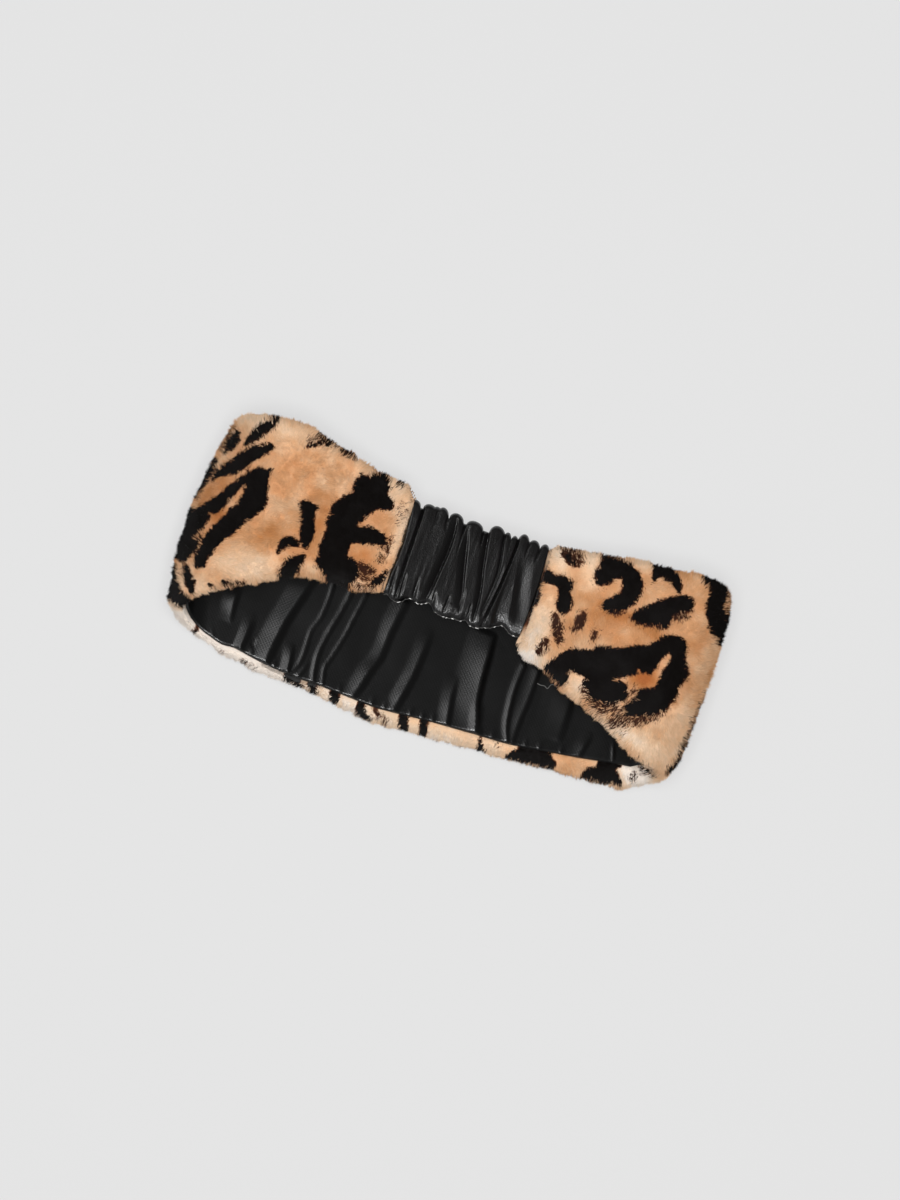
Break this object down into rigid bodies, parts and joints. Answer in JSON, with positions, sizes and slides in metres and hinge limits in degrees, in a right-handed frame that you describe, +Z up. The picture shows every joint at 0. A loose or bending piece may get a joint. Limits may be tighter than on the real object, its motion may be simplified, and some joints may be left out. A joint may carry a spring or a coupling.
{
  "type": "shearling headband",
  "caption": "Wide spotted shearling headband lying folded flat on its front, with a black satin lining and a short gathered leather back.",
  "frame": {"origin": "on the surface it lies on, under the middle of the flattened band", "axes": "+X along the flattened band from its left fold to its right fold, +Y up the band's height from its lower edge to its upper edge, +Z up from the surface, from the front panel to the gathered leather back"},
  "size_m": [0.2734, 0.1284, 0.041],
  "materials": {
    "sheared_fur": "dense sheared shearling pile, tan with near-black spots, matt",
    "lining_satin": "black satin with a soft sheen",
    "nappa_leather": "black nappa with a fine grain and a low sheen",
    "stitch_thread": "pale grey polyester sewing thread"
  },
  "bodies": {
    "root": {"shearling_band": "sheared_fur", "lining": "lining_satin", "leather_back": "nappa_leather"}
  },
  "joints": []
}
